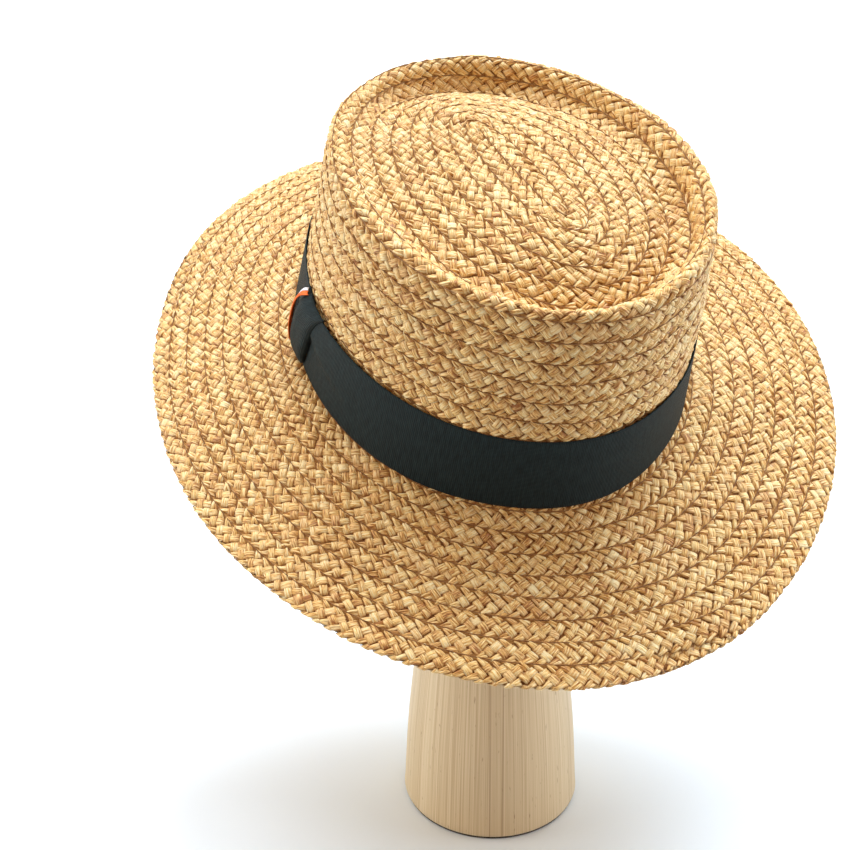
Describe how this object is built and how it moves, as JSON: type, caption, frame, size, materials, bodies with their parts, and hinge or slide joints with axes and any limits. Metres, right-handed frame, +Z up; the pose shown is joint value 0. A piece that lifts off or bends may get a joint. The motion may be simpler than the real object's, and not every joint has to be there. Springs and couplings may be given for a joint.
{
  "type": "wide-brimmed straw hat on a wooden stand",
  "caption": "Plaited straw hat with a telescope crown, wide drooping brim and dark ribbon band, tilted on a plain turned wooden stand with a felt pad.",
  "frame": {"origin": "centre of the stand's flat underside, where it stands on the floor", "axes": "+Z up along the stand's axis; -Y towards the viewer of the picture, which is the side that the hat leans down to; +X to that viewer's right"},
  "size_m": [0.3125, 0.3008, 0.3452],
  "materials": {
    "straw": "flat plaits of natural raffia straw, satin, sewn row to row",
    "ribbon": "dark green grosgrain ribbon with fine upright ribs",
    "orange_ribbon": "narrow orange ribbon",
    "white_ribbon": "narrow white ribbon",
    "pale_wood": "pale wood with straight upright grain, sanded matt",
    "felt": "thin dark felt"
  },
  "bodies": {
    "root": {"crown": "straw", "brim": "straw", "hatband": "ribbon", "band_keeper": "ribbon", "trim_orange": "orange_ribbon", "trim_white": "white_ribbon", "stand": "pale_wood", "stand_pad": "felt"}
  },
  "joints": []
}
